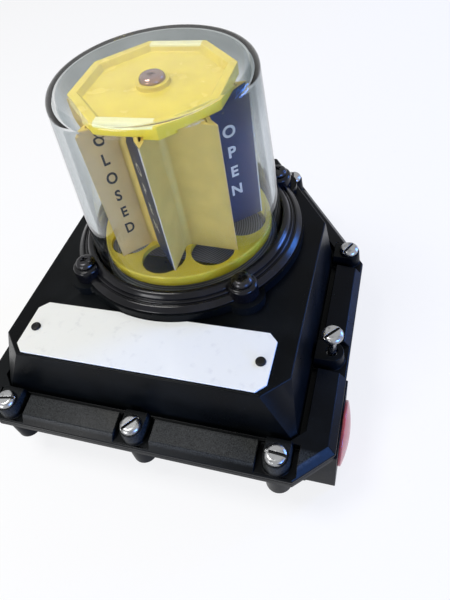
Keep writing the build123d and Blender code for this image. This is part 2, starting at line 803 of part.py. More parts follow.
# ================================================================ indicator
with BuildPart() as indicator_disc:
    with BuildSketch(Plane.XY.offset(disc_top_z - disc_height)):
        Circle(disc_radius)
    extrude(amount=disc_height)
    fillet(indicator_disc.edges().group_by(Axis.Z)[-1], disc_edge_round)
    with BuildSketch(Plane.XY.offset(disc_top_z - disc_height)):
        Circle(disc_radius - disc_skirt)
    extrude(amount=disc_height - disc_plate, mode=Mode.SUBTRACT)
    with BuildSketch(Plane.XY.offset(disc_hub_z)):
        Circle(disc_hub_radius)
    extrude(amount=disc_top_z - disc_hub_z)
    with BuildSketch(Plane.XY.offset(disc_hub_z)):
        Circle(spindle_radius)
        with PolarLocations(disc_hole_circle_radius, fin_count, start_angle=disc_hole_angle):
            Circle(disc_hole_radius)
    extrude(amount=disc_height + disc_plate, mode=Mode.SUBTRACT)
indicator_disc.part.label = "indicator_disc"
export_step(indicator_disc.part, "parts/indicator_disc.step")

# pinwheel outline: every bay has a short, nearly radial wall and a long slanting wall
fin_tips = [polar(fin_tip_radius, fin_tip_angle + bay * fin_step) for bay in range(fin_count)]
fin_roots = [polar(fin_root_radius, fin_root_angle + bay * fin_step) for bay in range(fin_count)]
fin_points = [point for pair in zip(fin_tips, fin_roots) for point in pair]

with BuildPart() as indicator_fins:
    with BuildSketch(Plane.XY.offset(disc_top_z)) as fin_section:
        Polygon(*fin_points, align=None)
        fillet(fin_section.vertices().sort_by_distance((0, 0, disc_top_z))[:fin_count], fin_root_round)
    extrude(amount=fin_height)
    with BuildSketch(Plane.XY.offset(disc_top_z)):
        add(fin_section.sketch)
        offset(amount=-fin_wall, kind=Kind.INTERSECTION, mode=Mode.REPLACE)
    extrude(amount=fin_height, mode=Mode.SUBTRACT)
indicator_fins.part.label = "indicator_fins"
export_step(indicator_fins.part, "parts/indicator_fins.step")


def printed_faces(starts, ends, start_margin, end_margin):
    """Thin printed faces standing on the outside of the walls from starts to ends."""
    with BuildPart() as piece:
        for start, end in zip(starts, ends):
            length = hypot(end[0] - start[0], end[1] - start[1])
            turn = degrees(atan2(end[1] - start[1], end[0] - start[0]))
            middle = (length + start_margin - end_margin) / 2
            with BuildSketch(Plane.XY.offset(disc_top_z + face_margin)):
                with Locations(Location(start, turn)):
                    with Locations((middle, -face_thickness / 2)):
                        Rectangle(length - start_margin - end_margin, face_thickness)
            extrude(amount=fin_height - 2 * face_margin)
    return piece


open_faces = printed_faces(fin_roots[0::2], fin_tips[1::2], face_root_margin, face_margin)
open_faces.part.label = "open_faces"
export_step(open_faces.part, "parts/open_faces.step")

closed_faces = printed_faces(fin_tips[0::2], fin_roots[0::2], face_margin, face_root_margin)
closed_faces.part.label = "closed_faces"
export_step(closed_faces.part, "parts/closed_faces.step")

with BuildPart() as indicator_cap:
    with BuildSketch(Plane.XY.offset(fin_top_z)):
        RegularPolygon(cap_radius, cap_sides, rotation=cap_angle)
    extrude(amount=cap_height)
    with BuildSketch(Plane.XY.offset(cap_floor_z)):
        RegularPolygon(cap_radius - cap_rim - cap_rim_slope, cap_sides, rotation=cap_angle)
    with BuildSketch(Plane.XY.offset(fin_top_z + cap_height)):
        RegularPolygon(cap_radius - cap_rim, cap_sides, rotation=cap_angle)
    loft(ruled=True, mode=Mode.SUBTRACT)
    with BuildSketch(Plane.XY.offset(cap_floor_z)):
        Circle(cap_pad_radius)
    extrude(amount=cap_pad_height)
    with BuildSketch(Plane.XY.offset(fin_top_z)):
        Circle(spindle_radius)
    extrude(amount=cap_floor, mode=Mode.SUBTRACT)
    with Locations(Plane.XY.offset(cap_pad_z)):
        Hole(cap_screw_radius, depth=cap_pad_height)
indicator_cap.part.label = "indicator_cap"
export_step(indicator_cap.part, "parts/indicator_cap.step")

with BuildPart() as cap_screw:
    with BuildSketch(Plane.XY.offset(cap_pad_z)):
        Circle(cap_head_radius)
    extrude(amount=cap_head_height)
    fillet(cap_screw.edges().group_by(Axis.Z)[-1], cap_head_round)
    with BuildSketch(Plane.XY.offset(cap_pad_z)):
        Circle(cap_screw_radius)
    extrude(amount=-(cap_pad_height + cap_screw_grip))
    with BuildSketch(Plane.XY.offset(cap_pad_z + cap_head_height)):
        Rectangle(cross_length, cross_width)
        Rectangle(cross_width, cross_length)
    extrude(amount=-cross_depth, mode=Mode.SUBTRACT)
cap_screw.part.label = "cap_screw"
export_step(cap_screw.part, "parts/cap_screw.step")

# ================================================================ main shaft
with BuildPart() as shaft_bush:
    with BuildSketch(Plane.XY.offset(recess_depth)):
        Circle(shaft_bush_radius)
        Circle(shaft_radius + running_clearance, mode=Mode.SUBTRACT)
    extrude(amount=hub_top - recess_depth)
shaft_bush.part.label = "shaft_bush"
export_step(shaft_bush.part, "parts/shaft_bush.step")

with BuildPart() as main_shaft:
    with BuildSketch(Plane.XY.offset(shaft_end)):
        Circle(shaft_radius)
    extrude(amount=shaft_top - shaft_end)
    chamfer(main_shaft.edges().group_by(Axis.Z)[0], shaft_chamfer)
    with BuildSketch(Plane.XY.offset(collar_z)):
        Circle(collar_radius)
    extrude(amount=collar_height)
    with BuildSketch(Plane.XY.offset(shaft_end)):
        Rectangle(2 * shaft_radius, end_slot_width)
    extrude(amount=end_slot_depth, mode=Mode.SUBTRACT)
    with BuildSketch(Plane.XY.offset(clip_z)):
        Circle(shaft_radius)
        Circle(shaft_radius - clip_groove, mode=Mode.SUBTRACT)
    extrude(amount=clip_thickness, mode=Mode.SUBTRACT)
    with BuildSketch(Plane.XY.offset(shaft_seal_z - shaft_seal_section)):
        Circle(shaft_radius)
        Circle(shaft_radius - 2 * shaft_seal_section, mode=Mode.SUBTRACT)
    extrude(amount=2 * shaft_seal_section, mode=Mode.SUBTRACT)
    with BuildSketch(Plane.XY.offset(shaft_top)):
        Rectangle(2 * shaft_radius, drive_slot_width)
    extrude(amount=-drive_slot_depth, mode=Mode.SUBTRACT)
main_shaft.part.label = "main_shaft"
export_step(main_shaft.part, "parts/main_shaft.step")

with BuildPart() as shaft_seal:
    with BuildSketch(Plane.XZ):
        with Locations((shaft_radius - shaft_seal_section, shaft_seal_z)):
            Circle(shaft_seal_section)
    revolve(axis=Axis.Z)
shaft_seal.part.label = "shaft_seal"
export_step(shaft_seal.part, "parts/shaft_seal.step")

with BuildPart() as shaft_clip:
    with BuildSketch(Plane.XY.offset(clip_z)):
        Circle(clip_radius)
        Circle(shaft_radius - clip_groove, mode=Mode.SUBTRACT)
        with Locations((0, -clip_radius)):
            Rectangle(clip_mouth, 2 * clip_radius, mode=Mode.SUBTRACT)
    extrude(amount=clip_thickness)
shaft_clip.part.label = "shaft_clip"
export_step(shaft_clip.part, "parts/shaft_clip.step")


# ================================================================ cams
def cam(foot_z, target_angle):
    """Round cam: a hub and rim joined by a web, and a through pocket for its target."""
    with BuildPart() as piece:
        with BuildSketch(Plane.XY.offset(foot_z)):
            Circle(cam_radius)
            Circle(cam_radius - cam_rim, mode=Mode.SUBTRACT)
            Circle(cam_hub_radius)
            with Locations(polar(cam_target_circle_radius, target_angle)):
                Circle(cam_target_radius + cam_target_wall)
        extrude(amount=cam_height)
        with BuildSketch(Plane.XY.offset(foot_z + (cam_height - cam_web) / 2)):
            Circle(cam_radius - cam_rim / 2)
        extrude(amount=cam_web)
        with BuildSketch(Plane.XY.offset(foot_z)):
            Circle(shaft_radius)
            with Locations(polar(cam_target_circle_radius, target_angle)):
                Circle(cam_target_radius)
        extrude(amount=cam_height, mode=Mode.SUBTRACT)
    return piece


lower_cam = cam(cam_z, lower_cam_angle)
lower_cam.part.label = "lower_cam"
export_step(lower_cam.part, "parts/lower_cam.step")

upper_cam = cam(cam_z + cam_pitch, upper_cam_angle)
upper_cam.part.label = "upper_cam"
export_step(upper_cam.part, "parts/upper_cam.step")

with BuildPart() as cam_targets:
    with BuildSketch(Plane.XY.offset(cam_z)):
        with Locations(polar(cam_target_circle_radius, lower_cam_angle)):
            Circle(cam_target_radius)
    extrude(amount=cam_height)
    with BuildSketch(Plane.XY.offset(cam_z + cam_pitch)):
        with Locations(polar(cam_target_circle_radius, upper_cam_angle)):
            Circle(cam_target_radius)
    extrude(amount=cam_height)
cam_targets.part.label = "cam_targets"
export_step(cam_targets.part, "parts/cam_targets.step")

with BuildPart() as cam_spacer:
    with BuildSketch(Plane.XY.offset(cam_z + cam_height)):
        Circle(spacer_radius)
        Circle(shaft_radius, mode=Mode.SUBTRACT)
    extrude(amount=spacer_height)
cam_spacer.part.label = "cam_spacer"
export_step(cam_spacer.part, "parts/cam_spacer.step")

with BuildPart() as snap_ring:
    with BuildSketch(Plane.XY.offset(snap_ring_z)):
        Circle(collar_radius)
        Circle(shaft_radius, mode=Mode.SUBTRACT)
        with Locations((collar_radius, 0)):
            Rectangle(2 * collar_radius, snap_ring_gap, mode=Mode.SUBTRACT)
    extrude(amount=snap_ring_height)
snap_ring.part.label = "snap_ring"
export_step(snap_ring.part, "parts/snap_ring.step")

# ================================================================ switches and their bracket
with BuildPart() as switch_bracket:
    with BuildSketch(Plane.XZ):
        with BuildLine():
            Polyline(
                (bracket_foot_x, recess_roof_z),
                (bracket_x + bracket_thickness, recess_roof_z),
                (bracket_x + bracket_thickness, bracket_top),
                (bracket_x, bracket_top),
                (bracket_x, recess_roof_z + bracket_thickness),
                (bracket_foot_x, recess_roof_z + bracket_thickness),
                close=True,
            )
        make_face()
    extrude(amount=bracket_half_width, both=True)
    with Locations(Plane.XY.offset(recess_roof_z + bracket_thickness)):
        with Locations(*bracket_places):
            Hole(small_screw_radius, depth=bracket_thickness)
    with BuildSketch(Plane.YZ.offset(bracket_x)):
        with Locations(*switch_screw_places):
            Circle(small_screw_radius)
    extrude(amount=bracket_thickness, mode=Mode.SUBTRACT)
switch_bracket.part.label = "switch_bracket"
export_step(switch_bracket.part, "parts/switch_bracket.step")


def switch_module(level):
    """Sealed switch module with two blind fixing holes in its back."""
    with BuildPart() as piece:
        with BuildSketch(Plane.XY.offset(level - switch_height / 2)) as module_outline:
            with Locations((switch_x + switch_depth / 2, 0)):
                Rectangle(switch_depth, switch_width)
            chamfer(module_outline.vertices().group_by(Axis.X)[0], switch_chamfer)
        extrude(amount=switch_height)
        with BuildSketch(Plane.YZ.offset(bracket_x)):
            with Locations((-switch_screw_y, level), (switch_screw_y, level)):
                Circle(small_screw_radius)
        extrude(amount=-switch_screw_grip, mode=Mode.SUBTRACT)
    return piece


lower_switch = switch_module(lower_level)
lower_switch.part.label = "lower_switch"
export_step(lower_switch.part, "parts/lower_switch.step")

upper_switch = switch_module(upper_level)
upper_switch.part.label = "upper_switch"
export_step(upper_switch.part, "parts/upper_switch.step")

with BuildPart() as switch_screws:
    with BuildSketch(Plane.YZ.offset(bracket_x + bracket_thickness)):
        with Locations(*switch_screw_places):
            Circle(small_head_radius)
    extrude(amount=small_head_height)
    with BuildSketch(Plane.YZ.offset(bracket_x + bracket_thickness)):
        with Locations(*switch_screw_places):
            Circle(small_screw_radius)
    extrude(amount=-(bracket_thickness + switch_screw_grip))
switch_screws.part.label = "switch_screws"
export_step(switch_screws.part, "parts/switch_screws.step")

with BuildPart() as bracket_screws:
    with BuildSketch(Plane.XY.offset(recess_roof_z + bracket_thickness)):
        with Locations(*bracket_places):
            Circle(small_head_radius)
    extrude(amount=small_head_height)
    with BuildSketch(Plane.XY.offset(recess_roof_z + bracket_thickness)):
        with Locations(*bracket_places):
            Circle(small_screw_radius)
    extrude(amount=-(bracket_thickness + bracket_screw_grip))
bracket_screws.part.label = "bracket_screws"
export_step(bracket_screws.part, "parts/bracket_screws.step")

# ================================================================ terminal strip
with BuildPart() as terminal_strip:
    with BuildSketch(Plane.XY.offset(strip_seat)):
        with Locations((0, strip_y)):
            Rectangle(2 * strip_half_length, 2 * strip_half_depth)
    extrude(amount=strip_floor)
    with BuildSketch(Plane.XY.offset(strip_seat)):
        with Locations((0, strip_y)):
            Rectangle(strip_poles * pole_pitch, 2 * strip_barrier)
            with GridLocations(pole_pitch, 1, strip_poles + 1, 1):
                Rectangle(strip_barrier, 2 * strip_half_depth)
    extrude(amount=strip_height)
    with Locations(Plane.XY.offset(terminal_z)):
        with Locations(*strip_posts):
            Hole(small_screw_radius, depth=strip_floor)
terminal_strip.part.label = "terminal_strip"
export_step(terminal_strip.part, "parts/terminal_strip.step")

with BuildPart() as terminal_screws:
    with BuildSketch(Plane.XY.offset(terminal_z)):
        with Locations((0, strip_y)):
            with GridLocations(pole_pitch, 2 * terminal_screw_y, strip_poles, 2):
                Circle(terminal_screw_radius)
    extrude(amount=terminal_screw_height)
    with BuildSketch(Plane.XY.offset(terminal_z + terminal_screw_height)):
        with Locations((0, strip_y)):
            with GridLocations(pole_pitch, 2 * terminal_screw_y, strip_poles, 2):
                Rectangle(2 * terminal_screw_radius, terminal_slot_width)
    extrude(amount=-terminal_slot_depth, mode=Mode.SUBTRACT)
terminal_screws.part.label = "terminal_screws"
export_step(terminal_screws.part, "parts/terminal_screws.step")

with BuildPart() as strip_screws:
    with BuildSketch(Plane.XY.offset(terminal_z)):
        with Locations(*strip_posts):
            Circle(small_head_radius)
    extrude(amount=small_head_height)
    with BuildSketch(Plane.XY.offset(terminal_z)):
        with Locations(*strip_posts):
            Circle(small_screw_radius)
    extrude(amount=-(strip_floor + strip_screw_grip))
strip_screws.part.label = "strip_screws"
export_step(strip_screws.part, "parts/strip_screws.step")

with BuildPart() as ground_screw:
    with BuildSketch(Plane.XY.offset(ground_boss_height)):
        with Locations(ground_place):
            Circle(ground_head_radius)
    extrude(amount=ground_head_height)
    with BuildSketch(Plane.XY.offset(ground_boss_height)):
        with Locations(ground_place):
            Circle(ground_screw_radius)
    extrude(amount=-ground_screw_grip)
ground_screw.part.label = "ground_screw"
export_step(ground_screw.part, "parts/ground_screw.step")
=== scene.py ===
# %% [markdown]
# # A valve limit switch box
# This box sits on top of a valve actuator. Its shaft turns with the valve, and the yellow and
# blue indicator under the clear dome turns with the shaft, so anyone can see from a distance
# whether the valve is open. The CAD solids arrive ready placed. Blender could build everything
# again, but the solids already have the right size. So this lesson adds what they lack: soft
# edges, finishes, words and light. Only the dome and its clamp ring are drawn anew.

# %% Load the frame
import bpy
import bmesh
from math import cos, pi, radians, sin
from mathutils import Matrix, Vector
from mathutils.bvhtree import BVHTree


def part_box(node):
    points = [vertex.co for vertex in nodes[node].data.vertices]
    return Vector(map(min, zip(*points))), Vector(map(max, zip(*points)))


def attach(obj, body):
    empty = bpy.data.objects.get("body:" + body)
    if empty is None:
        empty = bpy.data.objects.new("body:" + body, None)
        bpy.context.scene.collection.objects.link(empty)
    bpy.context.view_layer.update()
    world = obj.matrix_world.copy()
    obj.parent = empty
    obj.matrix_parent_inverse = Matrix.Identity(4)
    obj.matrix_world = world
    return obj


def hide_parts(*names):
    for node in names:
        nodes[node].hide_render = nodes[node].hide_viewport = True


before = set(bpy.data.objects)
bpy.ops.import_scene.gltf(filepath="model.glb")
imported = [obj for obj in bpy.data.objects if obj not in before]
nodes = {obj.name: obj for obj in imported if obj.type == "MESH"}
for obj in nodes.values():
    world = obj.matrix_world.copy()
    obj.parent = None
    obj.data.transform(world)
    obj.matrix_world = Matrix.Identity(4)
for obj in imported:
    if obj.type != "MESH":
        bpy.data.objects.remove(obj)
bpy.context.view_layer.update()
MM = 0.001

# %% [markdown]
# ## The camera
# A constraint could aim the camera at the middle of the box. Here its place and its three
# angles are simply set, because a hand held camera is also rolled a little, and a constraint
# would take that out. It looks from the front right, high up, through a moderate wide angle
# lens, so the near end of the box looks larger than the far one.

# %% Camera
CAMERA_PLACE = (0.08662, -0.16751, 0.22555)
CAMERA_ANGLES = (40.056, 7.691, 15.391)

camera_data = bpy.data.cameras.new("camera")
camera_data.lens = 30.73
camera_data.sensor_width = 36.0
camera_data.clip_start = 0.01
camera = bpy.data.objects.new("camera", camera_data)
bpy.context.scene.collection.objects.link(camera)
camera.location = CAMERA_PLACE
camera.rotation_euler = [radians(angle) for angle in CAMERA_ANGLES]
bpy.context.scene.camera = camera
bpy.context.scene.view_settings.view_transform = "Standard"
print("camera at", [round(v, 3) for v in camera.location])

# %% [markdown]
# ## Shader maths as ordinary maths
# Every finish below is a small network of nodes. It could be laid out node by node, but a long
# list of links is hard to read. Here a Wire wraps one socket, and adding or multiplying wires
# adds the Math nodes behind the scene, so a mask reads as a formula.


# %% Wire
class Wire:
    """A socket in a node tree. Arithmetic on it adds Math nodes."""

    def __init__(self, tree, socket):
        self.tree = tree
        self.socket = socket

    def maths(self, operation, *values):
        return self.tree.node("ShaderNodeMath", {"operation": operation}, dict(enumerate(values)))

    def apply(self, operation):
        """A function of this wire alone, such as SINE."""
        return self.maths(operation, self)

    def __add__(self, other):
        return self.maths("ADD", self, other)

    def __sub__(self, other):
        return self.maths("SUBTRACT", self, other)

    def __rsub__(self, other):
        return self.maths("SUBTRACT", other, self)

    def __mul__(self, other):
        return self.maths("MULTIPLY", self, other)

    def __lt__(self, other):
        return self.maths("LESS_THAN", self, other)

    __radd__ = __add__
    __rmul__ = __mul__


print("wires ready")

# %% [markdown]
# ## Trees and finishes
# All other nodes come from one method of a Tree, which takes a node's kind, its settings, and
# then its values and links. A Finish is the tree of one material. It could read its patterns
# from a UV map, but these pieces have none, so it reads where a point is in the object's own
# coordinates. Such a pattern also stays put when the piece moves with its body.


# %% Tree
class Tree:
    """A node tree, and the one method that adds any node to it."""

    def __init__(self, node_tree):
        self.node_tree = node_tree

    def node(self, kind, settings, values, output=0):
        node = self.node_tree.nodes.new(kind)
        for name, value in settings.items():
            setattr(node, name, value)
        for name, value in values.items():
            if isinstance(value, Wire):
                self.join(value, node.inputs[name])
            else:
                node.inputs[name].default_value = value
        return Wire(self, node.outputs[output])

    def join(self, wire, socket):
        self.node_tree.links.new(wire.socket, socket)


def colour(red, green, blue):
    """A colour as a socket wants it, with its alpha."""
    return (red, green, blue, 1)


print("trees ready")


# %% Finish
class Finish(Tree):
    """A material with one Principled BSDF."""

    def __init__(self, name, **constants):
        self.material = bpy.data.materials.new(name)
        self.material.use_nodes = True
        super().__init__(self.material.node_tree)
        self.surface = self.node_tree.nodes["Principled BSDF"]
        for socket, value in constants.items():
            self.surface.inputs[socket.replace("_", " ")].default_value = value

    def feed(self, name, wire):
        """Joins a wire to a socket of the surface shader."""
        self.join(wire, self.surface.inputs[name])

    def bump(self, height, strength, distance_mm):
        """Small relief, as if height stood distance_mm proud."""
        values = {"Height": height, "Strength": strength, "Distance": distance_mm * MM}
        self.feed("Normal", self.node("ShaderNodeBump", {}, values))

    def place(self):
        """Where a point is on the piece, in metres."""
        return self.node("ShaderNodeTexCoord", {}, {}, "Object")

    def along(self, axis):
        """How far a point is along X, Y or Z, in metres."""
        return self.node("ShaderNodeSeparateXYZ", {}, {"Vector": self.place()}, axis)

    def across(self):
        """How far a point is from the Z axis, in metres."""
        x, y = self.along("X"), self.along("Y")
        return (x * x + y * y).apply("SQRT")

    def noise(self, size_mm, detail=3.0):
        """Cloudy noise about size_mm across."""
        values = {"Vector": self.place(), "Scale": 1 / (size_mm * MM)}
        values.update(Detail=detail, Roughness=0.55)
        return self.node("ShaderNodeTexNoise", {}, values)

    def step(self, value, low, high):
        """0 below low, 1 above high, and smooth between."""
        values = {"Value": value, "From Min": low, "From Max": high}
        return self.node("ShaderNodeMapRange", {"interpolation_type": "SMOOTHSTEP"}, values)

    def beyond(self, distance, edge_mm, soft_mm):
        """0 before an edge and 1 beyond it. The change reaches soft_mm to either side."""
        return self.step(distance, (edge_mm - soft_mm) * MM, (edge_mm + soft_mm) * MM)

    def blend(self, mask, first, second):
        """The first colour where the mask is 0, and the second where it is 1."""
        values = {"Factor": mask, 6: first, 7: second}
        return self.node("ShaderNodeMix", {"data_type": "RGBA"}, values, 2)


print("finishes ready")

# %% [markdown]
# ## Floor and background
# The box stands on a pale sheet. The sheet could be lit until it is white, but that much light
# would bleach the box as well. So the floor and the world look at what kind of ray asks. A ray
# from the camera, a mirror or glass finds them glowing almost white. Every other ray meets an
# ordinary pale floor, which keeps the shadow of the box.


# %% Seen or mirrored
def seen_or_mirrored(tree, low, high):
    """High for camera, glossy and transmission rays, and low for the rest."""
    rays = ("Is Camera Ray", "Is Glossy Ray", "Is Transmission Ray")
    direct, glossy, through = [tree.node("ShaderNodeLightPath", {}, {}, ray) for ray in rays]
    values = {"Value": direct + glossy + through, "To Min": low, "To Max": high}
    return tree.node("ShaderNodeMapRange", {}, values)


print("ray mask ready")

# %% Floor
FLOOR_GLOW = 0.82
FLOOR_HALF = 4

bm = bmesh.new()
bmesh.ops.create_grid(bm, x_segments=1, y_segments=1, size=FLOOR_HALF)
floor_mesh = bpy.data.meshes.new("floor")
bm.to_mesh(floor_mesh)
bm.free()
floor = bpy.data.objects.new("floor", floor_mesh)
bpy.context.scene.collection.objects.link(floor)

pale = colour(0.9, 0.9, 0.9)
sheet = Finish("pale floor", Base_Color=pale, Roughness=0.9, Specular_IOR_Level=0.0)
lit = Wire(sheet, sheet.surface.outputs[0])
glow = sheet.node("ShaderNodeEmission", {}, {})
seen = seen_or_mirrored(sheet, 0.0, FLOOR_GLOW)
shown = sheet.node("ShaderNodeMixShader", {}, {0: seen, 1: lit, 2: glow})
sheet.join(shown, sheet.node_tree.nodes["Material Output"].inputs["Surface"])
floor.data.materials.append(sheet.material)
print("floor laid")

# %% World
WORLD_LIGHT = 0.3

world = bpy.data.worlds.new("studio")
bpy.context.scene.world = world
world.use_nodes = True
studio = Tree(world.node_tree)
background = world.node_tree.nodes["Background"]
background.inputs["Color"].default_value = colour(1, 1, 1)
studio.join(seen_or_mirrored(studio, WORLD_LIGHT, 1.0), background.inputs["Strength"])
print("world light", WORLD_LIGHT)

# %% [markdown]
# ## Lamps
# One large lamp could light everything, but a black box shows its shape mostly by what it
# mirrors. So two white area lamps, above and in front, draw the soft highlights, and three
# small blue ones at the right stand for open sky. They give the chamfers and the ring their
# cold edges.

# %% Lamps
LAMPS = {
    "top lamp": ((-0.30, -0.13, 0.80), (0, 0, 0.05), 0.27, 4.3, (1, 0.98, 0.95)),
    "front lamp": ((-0.36, -0.80, 0.18), (0, 0, 0.04), 0.30, 3.5, (1, 1, 1)),
    "side sky lamp": ((0.70, -0.46, 0.08), (0.05, 0, 0.03), 0.30, 8.5, (0.10, 0.30, 1)),
    "rear sky lamp": ((0.57, 0.44, 0.42), (0.06, 0, 0.04), 0.18, 2.8, (0.06, 0.26, 1)),
    "low sky lamp": ((0.74, 0.40, 0.08), (0.06, 0, 0.03), 0.24, 5.0, (0.10, 0.28, 1)),
}

for name, (place, target, size, watts, tint) in LAMPS.items():
    data = bpy.data.lights.new(name, "AREA")
    data.size = size
    data.energy = watts
    data.color = tint
    lamp = bpy.data.objects.new(name, data)
    bpy.context.scene.collection.objects.link(lamp)
    lamp.location = place
    lamp.rotation_euler = (Vector(target) - Vector(place)).to_track_quat("-Z", "Y").to_euler()
print(len(LAMPS), "lamps and a white world")

# %% [markdown]
# ## Finish of the two castings
# Cover and base are castings with a black satin coat. It could be one flat black, but a real
# coat is grainy from the metal under it, and handled patches shine less. Dust lies in specks.
# Along the front of the flange a paler grainy band is partly dust and partly a painted sheen,
# standing in for the light the flange strips catch. Under the dome the seat is turned bare, in
# fine rings, and it is painted lighter than it is, as painted light, because little light
# reaches it under the disc. Each of these is a mask, made from noise or from the place of a
# point, and the colours are blended one over the other, because masks can be tuned one at a time.

# %% Casting film and seat
SEAT_FACE = 64.25
SEAT_RADIUS = 41.4
RING_PITCH = 1.1

casting = Finish("black casting", Specular_IOR_Level=0.055)
patches = casting.step(casting.noise(28, 5), 0.35, 0.7)
film = casting.blend(patches, colour(0.0015, 0.002, 0.0025), colour(0.004, 0.005, 0.006))

across, up = casting.across(), casting.along("Z")
seat = casting.beyond(up, SEAT_FACE, 0.05) * (1 - casting.beyond(across, SEAT_RADIUS, 0.2))
rings = (across * (2 * pi / (RING_PITCH * MM))).apply("SINE") * 0.5 + 0.5
# Painted light: the turned rings are painted lighter than the bare seat, because little light
# reaches it under the disc.
turned_and_lit = casting.blend(rings, colour(0.16, 0.16, 0.17), colour(0.42, 0.42, 0.45))
film = casting.blend(seat, film, turned_and_lit)
print("seat turned in rings of", RING_PITCH, "mm")

# %% Casting dust, flange sheen and grain
FLANGE_FRONT = -87.5
FLANGE_FOOT = 35.25
FLANGE_TOP = 40.0

front = 1 - casting.beyond(casting.along("Y"), FLANGE_FRONT, 1.0)
flange = front * casting.beyond(up, FLANGE_FOOT, 0.75) * (1 - casting.beyond(up, FLANGE_TOP, 0.5))
# Partly dust, partly painted sheen: the front of the flange is painted paler where its strips
# catch light.
dust_and_sheen = flange * casting.step(casting.noise(0.5), 0.25, 0.75)
film = casting.blend(dust_and_sheen, film, colour(0.036, 0.039, 0.039))

specks = casting.step(casting.noise(0.9, 2), 0.66, 0.78)
dust = specks * casting.step(casting.noise(14, 4), 0.5, 0.75)
casting.feed("Base Color", casting.blend(dust * 0.25, film, colour(0.16, 0.155, 0.14)))
casting.feed("Roughness", 0.24 + patches * 0.12 + casting.noise(1.5) * 0.08 + dust * 0.3)
casting.bump(casting.noise(0.7, 4), 0.35, 0.06)
print("casting has", len(casting.node_tree.nodes), "nodes")

# %% [markdown]
# ## Finish of the clamp ring
# The ring over the dome's foot is turned and enamelled black. It could share the castings'
# finish, but it is plainly glossier, and its long bright streaks need a smooth surface. So it
# gets a finish of its own, with a low roughness and hardly any bump.

# %% Clamp ring enamel
ring_black = Finish("gloss black ring", Specular_IOR_Level=0.2)
patches = ring_black.step(ring_black.noise(12, 4), 0.4, 0.7)
enamel = ring_black.blend(patches, colour(0.003, 0.003, 0.004), colour(0.006, 0.006, 0.008))
ring_black.feed("Base Color", enamel)
ring_black.feed("Roughness", 0.12 + patches * 0.14)
ring_black.bump(ring_black.noise(0.6), 0.15, 0.03)
print("ring finish ready")

# %% [markdown]
# ## CAD meshes as whole faces
# A CAD solid arrives as loose triangles. The next steps have to find whole faces, such as the
# floor of a screw slot. They could be picked out triangle by triangle, but merging the points
# and joining the flat triangles gives back the faces that a maker would point at.

# %% Whole faces
JOIN_DISTANCE = 0.002
FLAT_ANGLE = 0.5


def merged(node):
    """A copy of a CAD node's mesh with its triangles joined into flat faces."""
    bm = bmesh.new()
    bm.from_mesh(nodes[node].data)
    bmesh.ops.remove_doubles(bm, verts=bm.verts, dist=JOIN_DISTANCE * MM)
    flat = radians(FLAT_ANGLE)
    bmesh.ops.dissolve_limit(bm, angle_limit=flat, verts=bm.verts, edges=bm.edges)
    return bm


print("whole faces ready")

# %% [markdown]
# ## Painted shade in the screw slots
# The driver slots of the cover screws are painted dark, a painted shade that stands in for the
# little light that gets into them. A darker material could be given to those faces, but its
# edge would follow the faces and look cut out. A mask is softer: it is 1 near the middle of a
# slot's floor, and only below the face of the head.

# %% Slot floors
SLOT_DEPTH = 1.1
SLOT_SLACK = 0.05
SHADE_RADIUS = 4.025
SHADE_HEIGHT = 0.25


def slot_floors(node):
    """The middle of every slot floor of the screws in a node."""
    bm = merged(node)
    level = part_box(node)[1].z - SLOT_DEPTH * MM
    floors = [face.calc_center_median() for face in bm.faces if face.normal.z > 0.99]
    bm.free()
    return [middle for middle in floors if abs(middle.z - level) < SLOT_SLACK * MM]


def slot_shade_mask(finish, floors):
    """1 in the slots of slotted heads, 0 elsewhere."""
    mask = 0
    for middle in floors:
        ends = {0: finish.place(), 1: middle}
        gap = finish.node("ShaderNodeVectorMath", {"operation": "DISTANCE"}, ends, "Value")
        near = 1 - finish.beyond(gap, SHADE_RADIUS, 0.075)
        low = finish.along("Z") < middle.z + SHADE_HEIGHT * MM
        mask = near * low + mask
    return mask


slots = slot_floors("cover_screws") + slot_floors("raised_cover_screw")
print(len(slots), "slot floors")

# %% [markdown]
# ## Finishes of the metal parts
# Screws, shaft, springs and bracket are bare, plated or blackened metal. Each could have its own
# network, but they differ only in shade, in polish and in how much grime they carry. So one
# recipe makes them all: a stain that darkens and dulls the metal in small clouds, over a very
# fine bump.


# %% Metals
def steel_finish(name, shade, roughness, grime=0.0, shaded_slots=()):
    """A metal with small stains, which are darker where there is more grime."""
    finish = Finish(name, Metallic=1.0)
    stain = finish.step(finish.noise(2.5, 5), 0.45, 0.75)
    dark = [value * (0.55 - 0.3 * grime) for value in shade]
    metal = finish.blend(stain, colour(*shade), colour(*dark))
    if shaded_slots:
        # Painted shade: the slot floors are blended towards near black.
        metal = finish.blend(slot_shade_mask(finish, shaded_slots), metal, colour(0.02, 0.02, 0.02))
    finish.feed("Base Color", metal)
    finish.feed("Roughness", roughness + stain * 0.2 + finish.noise(0.35) * 0.06)
    finish.bump(finish.noise(0.25), 0.2, 0.02)
    return finish


screw_steel = steel_finish("screw steel", (0.33, 0.335, 0.34), 0.22, 0.6, slots)
plain_steel = steel_finish("plain steel", (0.4, 0.4, 0.4), 0.25, 0.3)
shaft_steel = steel_finish("ground shaft steel", (0.55, 0.55, 0.55), 0.18)
spring_steel = steel_finish("spring steel", (0.3, 0.3, 0.32), 0.28)
bracket_zinc = steel_finish("zinc plate", (0.55, 0.55, 0.5), 0.32)
bronze = steel_finish("bearing bronze", (0.5, 0.3, 0.11), 0.3)
black_steel = steel_finish("black oxide steel", (0.035, 0.035, 0.038), 0.2)
rivet_black = steel_finish("black rivet", (0.02, 0.02, 0.02), 0.4)
print("metal finishes ready")

# %% [markdown]
# ## The plated screw in the cap
# This one screw is plated, and shows a brown middle and a violet rim. A thin film coat could be
# worked out properly, but two colours blended by how far the surface turns away give the same
# sheen with one node.

